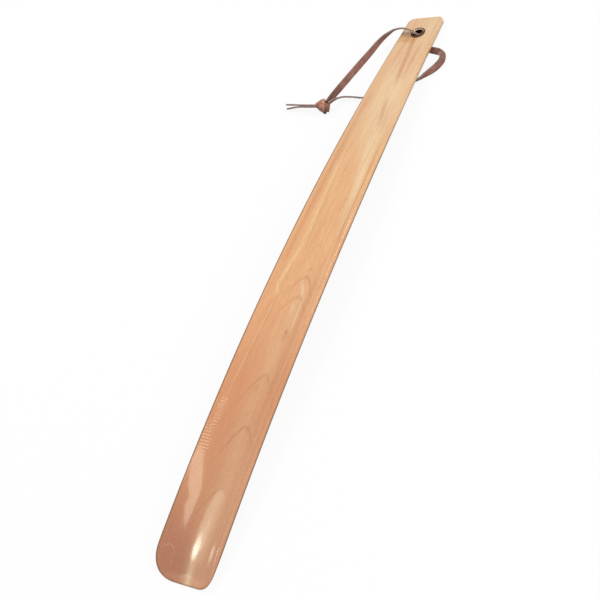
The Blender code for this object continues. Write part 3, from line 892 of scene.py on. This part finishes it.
def woodFinish():
    # Everything is placed on the flat board, so that the figure follows the bent wood
    board = finishBoard("lacquered_wood")
    across, along, out = (part * perMetre for part in board.split(board.mark("boardPlace", "Vector")))
    tints = {name: shade(*wood[name]) for name in ("flame", "pale", "line", "red", "warm", "edge")}
    zones, shares = wood["zones"], wood["shares"]
    fields = {name: board.noise(board.vector(across * sideways, along * lengthwise, out * sideways),
                                1.0, detail, rough)
              for name, (sideways, lengthwise, detail, rough) in wood["fields"].items()}
    drift, waver, fibre = fields["drift"] - 0.5, fields["waver"] - 0.5, fields["fibre"]

    def changing(name):
        first, change, start, end = wood[name]
        return first + change * board.band(along, start, end)

    def lay(mask, tint):
        nonlocal colour
        colour = board.blend(mask, colour, tints[tint])

    colour = board.node("ShaderNodeValToRGB", {"stops": [
        (share, shade(*tone)) for share, tone in wood["lengthwise"]]},
        {0: along / (horn["length"] * perMetre) + drift * 0.06})

    # Broad figure: paler heart inside the arches, pale sapwood on the right above the middle
    middle, half, sway = wood["heart"]
    heart = board.bell((across - middle + waver * sway) / half) * board.fall(along, *zones["heartEnd"])
    sap = board.bell((across - changing("sapMiddle") + waver * 5.0) / changing("sapHalf"))
    sap = sap * board.band(along, *zones["sapStart"]) * (1.0 - board.band(along, *zones["sapThins"]) * 0.6)
    lay(heart * shares["heart"] + sap * shares["sap"], "pale")
    mottle = board.band(fields["mottle"], *wood["mottleBand"])
    lay(mottle * shares["mottle"], "flame")

    # Growth lines: faint ones everywhere, and the arches that show; the pale arch near the tip is a painted
    # reflection
    middle, roundness, pitch = wood["rings"]
    offset = across - middle + drift * 4.0
    bow = (roundness ** 2 + (changing("ringBend") * offset) ** 2.0) ** 0.5
    rings = along + bow + waver * 7.0 + drift * 30.0
    grow = board.noise(board.vector(rings * pitch, 0.0, 3.0), 1.0, 2.0, 0.55)
    faint = board.band(grow, 0.56, 0.66) * board.fall(grow, 0.66, 0.70)
    lay(faint * shares["rings"], "line")
    for tint in ("line", "pale"):
        lines = []
        for apex, middle, roundness, spread, width, strength, reach, name in wood["arches"]:
            if name == tint:
                bow = (roundness ** 2 + ((across - middle + waver * 0.6) * spread) ** 2.0) ** 0.5 - roundness
                line = board.bell((along + bow + waver * 1.2 - apex) / width)
                lines.append(line * board.fall(bow, reach * 0.1, reach) * strength)
        lay(board.strongest(lines) * (0.45 + fibre * 0.6), tint)

    # Streaks and pin knots, by tint
    for tint in ("flame", "pale", "line"):
        streaks = []
        for start, startAcross, end, endAcross, half, strength, name in wood["streaks"]:
            if name == tint:
                share = board.maths("MINIMUM", 1.0, (along - start) / (end - start))
                middle = startAcross + board.maths("MAXIMUM", 0.0, share) * (endAcross - startAcross)
                streak = board.bell((across - middle + waver * 2.2) / half)
                soft = min(12.0, (end - start) * 0.4)
                streaks.append(streak * board.stretch(along, start, end, soft) * strength)
        lay(board.strongest(streaks) * (0.6 + fibre * 0.7), tint)
    for alongKnot, acrossKnot, size, strength in wood["knots"]:
        far = ((along - alongKnot) ** 2.0 * 0.5 + (across - acrossKnot) ** 2.0) ** 0.5
        lay(board.bell(far / size) * strength, "line")

    # Redder, darker wood at the tip's left, partly its own colour and partly painted shade, and warmer wood
    # at its right, then the fine grain
    tip = board.fall(along + across * 1.2, *zones["tipAlong"]) * board.fall(across, *zones["tipAcross"])
    lay(tip * shares["tip"], "red")
    warm = board.band(across, *zones["warmAcross"]) * board.fall(along, *zones["warmAlong"])
    lay(warm * shares["warm"], "warm")
    handle = board.band(along, *zones["handle"])
    for name, start, full, share, tint in wood["grain"]:
        grain = board.band(fields[name], start, full)
        grain = grain * handle if name == "needle" else grain
        lay(grain * share, tint)

    # The edges: painted shade, darker along the left arris and low on the other walls
    gained = board.band(along, 0.0, horn["tipTaper"] * perMetre)
    thick = horn["tipThickness"] + (horn["thickness"] - horn["tipThickness"]) * gained
    walls = board.band(0.5 - out / (thick * perMetre), *wood["wallBand"])
    leftSide = board.band(across * -1.0, *zones["shadeSide"]) * board.band(along, *zones["shadeTip"])
    inward = board.mark("edgeNear") * perMetre
    arris = board.fall(inward, *zones["shadeIn"]) * leftSide
    fading = 1.0 - board.band(along, *zones["shadeFades"]) * 0.5
    edge = board.maths("MAXIMUM", arris, walls) * fading * wood["edgeShade"]

    # The lacquer: nearly flat, with the sanded chatter marks near the left edge of the blade
    turn, sway, tall = wood["chatter"]
    chatter = board.maths("SINE", along * turn + waver * sway)
    where = board.band(along, *zones["chatterStart"]) * board.fall(along, *zones["chatterEnd"])
    height = fields["wave"] + chatter * (where * board.fall(across, *zones["chatterAcross"])) * tall
    bump = board.node("ShaderNodeBump", None, {
        "Strength": 1.0, "Distance": wood["waveHeight"], "Height": height})
    dull = board.fall(along, *zones["dullTip"]) * wood["tipRoughness"]
    setShader(board, Base_Color=colour, Roughness=wood["roughness"] + fibre * 0.02 + dull, Normal=bump)
    shadeSurface = board.node("ShaderNodeBsdfDiffuse", None, {"Color": tints["edge"]})
    mixSurface(board, edge, Wire(board, board.shader.outputs[0]), shadeSurface)
    return board.material


def edgeNear(across, along):
    # Distance in from the outline, near it
    gaps = []
    for side in (-1, 1):
        half = halfWidth(along, side, 0.0)
        slope = (halfWidth(along + horn["slopeStep"], side, 0.0) - half) / horn["slopeStep"]
        gaps.append((half - side * across) / math.sqrt(1.0 + slope * slope))
    return min(gaps)


hornPiece = flatBoard()
cutBore(hornPiece)
flatPlaces = [vertex.co[:2] for vertex in hornPiece.data.vertices]
markPoints(hornPiece.data, "boardWidth", [fullWidth(along / horn["length"]) for across, along in flatPlaces])
markPoints(hornPiece.data, "edgeNear", [edgeNear(across, along) for across, along in flatPlaces])
runTree(hornPiece, *bendTree(), {**horn, "finish": woodFinish()})
smoothPiece(hornPiece, horn["smoothAngle"])
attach(hornPiece, "horn")
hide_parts("horn")
print("horn bent:", len(hornPiece.data.polygons), "faces")


# Eyelet

eyelet = {
    "holeRadius": 0.0038,
    "wall": 0.00045,
    "rimWidth": 0.00205,
    "rimHeight": 0.00095,
    "lipRadius": 0.0051,
    "lipThickness": 0.00042,
    "gap": 0.00025,  # under its rolled rim
    "tilt": -0.1007626,
    # the rolled rim's section: shares of its width outward from the hole, and of its height
    "rim": ((1.0, 0.0), (1.0, 0.25), (0.985, 0.50), (0.95, 0.72), (0.90, 0.87), (0.84, 0.96), (0.77, 1.0),
            (0.70, 0.985), (0.62, 0.93), (0.52, 0.83), (0.42, 0.73), (0.32, 0.62), (0.22, 0.49), (0.14, 0.33),
            (0.07, 0.10), (0.02, -0.20), (0.0, -0.60)),
    "crest": (0.12, 0.36),  # shares of the rim's width over which its plating is worn pale, with a painted highlight there too
    "crestSheenShare": 0.62,
    "throat": 0.1,  # share of the rim's width painted darker down the bore, as painted shade
    "sides": 96,
    "metal": shade(98, 73, 55),
    "worn": shade(120, 92, 72),
    "bareAndSheen": shade(224, 204, 188),
    "inside": shade(40, 20, 11),
    "cloudScale": 700.0,
    "roughness": 0.22,
    "smoothAngle": 40.0,
}


def eyeletFinish():
    board = finishBoard("dark_plated_metal")
    cloud = board.noise(board.objectPlace(), eyelet["cloudScale"], 4.0, 0.6)
    colour = board.blend(board.band(cloud, 0.45, 0.8) * 0.5, eyelet["metal"], eyelet["worn"])
    # worn pale plating and a painted highlight along the rim's inner flank
    colour = board.blend(board.mark("ringCrest") * eyelet["crestSheenShare"], colour, eyelet["bareAndSheen"])
    # painted shade: the throat of the bore darkened
    colour = board.blend(board.mark("ringInside"), colour, eyelet["inside"])
    setShader(board, Base_Color=colour, Metallic=1.0, Roughness=eyelet["roughness"] + cloud * 0.15)
    return board.material


def buildEyelet():
    # Turned from its section: the rolled rim, the bore, the lip in the back and the tube's outside
    front = horn["thickness"] / 2.0
    foot = front + eyelet["gap"]
    hole, wall, lip = eyelet["holeRadius"], eyelet["wall"], eyelet["lipRadius"]
    lipTop = -front + eyelet["lipThickness"]
    profile = [(hole + radius * eyelet["rimWidth"], foot + height * eyelet["rimHeight"])
               for radius, height in eyelet["rim"]]
    profile += [(hole, -front + wall), (hole + wall / 2.0, -front), (lip, -front), (lip, lipTop),
                (hole + wall, lipTop), (hole + wall, foot)]
    seat = Matrix.Translation(eyeletMiddle) @ Matrix.Rotation(eyelet["tilt"], 4, "X")
    shape = bmesh.new()
    rings = [[shape.verts.new(seat @ Vector((radius * math.cos(angle), radius * math.sin(angle), height)))
              for radius, height in profile] for angle in circle(eyelet["sides"])]
    joinRings(shape, rings + rings[:1])
    bmesh.ops.recalc_face_normals(shape, faces=shape.faces)
    piece = keepShape(shape, "eyelet_ring")
    inner, outer = eyelet["crest"]
    radii = [radius for radius, height in eyelet["rim"]]
    for name, values in (("ringCrest", [1.0 if inner <= radius <= outer else 0.0 for radius in radii]),
                         ("ringInside", [1.0 if radius < eyelet["throat"] else 0.0 for radius in radii])):
        values += [0.0] * (len(profile) - len(radii))
        markPoints(piece.data, name, values * eyelet["sides"])
    piece.data.materials.append(eyeletFinish())
    smoothPiece(piece, eyelet["smoothAngle"])
    return piece


eyeletPiece = buildEyelet()
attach(eyeletPiece, "horn")
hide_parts("eyelet")
print("eyelet set")


# Studio: white surface, two soft lamps, and the bright cards that the lacquer mirrors

studio = {
    "roomLevel": 0.42,
    "floorSize": 6.0,
    "floorBelow": 0.0002,
    "floorBounce": 0.30,
    "floorGlow": 0.92,
    # lamps: place, size and power
    "lamps": {
        "key_lamp": ((-0.80, 0.15, 1.10), 0.7, 8.0),
        "side_lamp": ((1.25, 0.10, 0.62), 0.6, 12.0),
    },
    "cardHeight": 1.0,
    "cardTint": (0.94, 1.0, 0.84, 1.0),
    # cards that the lacquer mirrors: brightness, where it fades out along X if it does, and corners
    "cards": {
        "tall_softbox": (4.7, None, (
            (-0.560, -0.187), (-0.517, -0.180), (-0.470, -0.166), (-0.438, -0.146), (-0.464, -0.123),
            (-0.430, -0.109), (-0.397, -0.098), (-0.369, -0.081), (-0.354, -0.050), (-0.357, -0.006),
            (-0.376, 0.019), (-0.414, 0.012), (-0.446, -0.008), (-0.476, -0.031), (-0.517, -0.059),
            (-0.561, -0.087), (-0.577, -0.105), (-0.582, -0.143), (-0.577, -0.173))),
        "overhead_softbox": (9.0, None, ((0.17, 0.36), (0.45, 0.36), (0.45, 0.75), (0.17, 0.75))),
        "small_softbox": (4.4, None, (
            (-0.422, 0.072), (-0.423, 0.091), (-0.441, 0.120), (-0.472, 0.124), (-0.501, 0.123),
            (-0.485, 0.096), (-0.459, 0.078))),
        "wide_softbox": (3.4, (-1.20, -0.90), (
            (-0.855, -0.345), (-0.803, -0.338), (-0.783, -0.218), (-0.788, -0.112), (-0.829, -0.077),
            (-0.881, -0.051), (-0.959, -0.036), (-1.037, -0.031), (-1.112, -0.044), (-1.185, -0.066),
            (-1.257, -0.115), (-1.264, -0.261), (-1.252, -0.345), (-1.092, -0.345))),
    },
    # soft bright spots on the same plane: brightness, middle and half sizes
    "spots": {
        "bright_lamp": (19.0, (-0.875, -0.258), (0.050, 0.070)),
        "glow_lamp": (5.0, (-0.930, -0.200), (0.075, 0.070)),
        "low_lamp": (7.0, (-1.330, -0.240), (0.034, 0.070)),
        "lowest_lamp": (7.0, (-1.620, -0.280), (0.060, 0.065)),
    },
    "spotReach": 1.6,
    "spotFade": (0.2, 2.4),
    "spotDrop": 0.001,  # how far a spot hangs under the cards
}


def seenRays(board):
    # 1 for what the camera sees, straight, mirrored or through something clear
    straight, mirrored, through = (board.node("ShaderNodeLightPath", None, None, name)
                                   for name in ("Is Camera Ray", "Is Glossy Ray", "Is Transmission Ray"))
    return board.maths("MINIMUM", straight + mirrored + through, 1.0)


def addCard(name, level, corners, reach):
    # A card that shows only in mirrored light, and is clear where its reach is 0
    mesh = bpy.data.meshes.new(name)
    mesh.from_pydata(corners, [], [tuple(range(len(corners)))])
    board = finishBoard(name)
    light = board.node("ShaderNodeEmission", None, {"Color": studio["cardTint"], "Strength": level})
    clear = board.node("ShaderNodeBsdfTransparent")
    mixSurface(board, reach(*board.split(board.objectPlace(), "XY")), clear, light)
    mesh.materials.append(board.material)
    card = addPiece(name, mesh)
    card.visible_camera = False
    card.visible_diffuse = False
    card.visible_shadow = False


def lightRoom():
    world = bpy.data.worlds.new("studio_room")
    world.use_nodes = True
    bpy.context.scene.world = world
    board = Board(world.node_tree)
    level = studio["roomLevel"] + seenRays(board) * (1.0 - studio["roomLevel"])
    back = board.tree.nodes["Background"]
    back.inputs["Color"].default_value = white
    board.feed(back.inputs["Strength"], level)


def layFloor():
    half = studio["floorSize"] / 2.0
    mesh = bpy.data.meshes.new("studio_floor")
    mesh.from_pydata([(x * half, y * half, -studio["floorBelow"]) for x, y in square], [], [(0, 1, 2, 3)])
    floor = addPiece("studio_floor", mesh)
    board = finishBoard("studio_paper")
    seen = seenRays(board)
    bounce = studio["floorBounce"]
    plain = board.blend(seen, (bounce, bounce, bounce, 1.0), white)
    matt = board.node("ShaderNodeBsdfDiffuse", None, {"Color": plain})
    glow = board.node("ShaderNodeEmission", None, {"Color": white, "Strength": 1.0})
    mixSurface(board, seen * studio["floorGlow"], matt, glow)
    mesh.materials.append(board.material)


def hangLamps():
    for name, (place, size, power) in studio["lamps"].items():
        light = bpy.data.lights.new(name, "AREA")
        light.size = size
        light.energy = power
        lamp = addPiece(name, light)
        lamp.location = place
        lamp.rotation_euler = Vector(place).to_track_quat("Z", "Y").to_euler()
        lamp.visible_glossy = False
        lamp.visible_camera = False


def hangCards():
    for name, (level, fading, corners) in studio["cards"].items():
        def reach(across, along):
            return across.board.band(across, *fading) if fading else 1.0

        addCard(name, level, [(x, y, studio["cardHeight"]) for x, y in corners], reach)
    for name, (level, middle, half) in studio["spots"].items():
        def reach(across, along):
            far = ((across - middle[0]) / half[0]) ** 2.0 + ((along - middle[1]) / half[1]) ** 2.0
            return across.board.fall(far, *studio["spotFade"])

        spread = studio["spotReach"]
        height = studio["cardHeight"] - studio["spotDrop"]
        addCard(name, level, [(middle[0] + x * half[0] * spread, middle[1] + y * half[1] * spread, height)
                              for x, y in square], reach)


lightRoom()
layFloor()
hangLamps()
hangCards()
bpy.context.scene.view_settings.view_transform = "Standard"
print("studio lit")
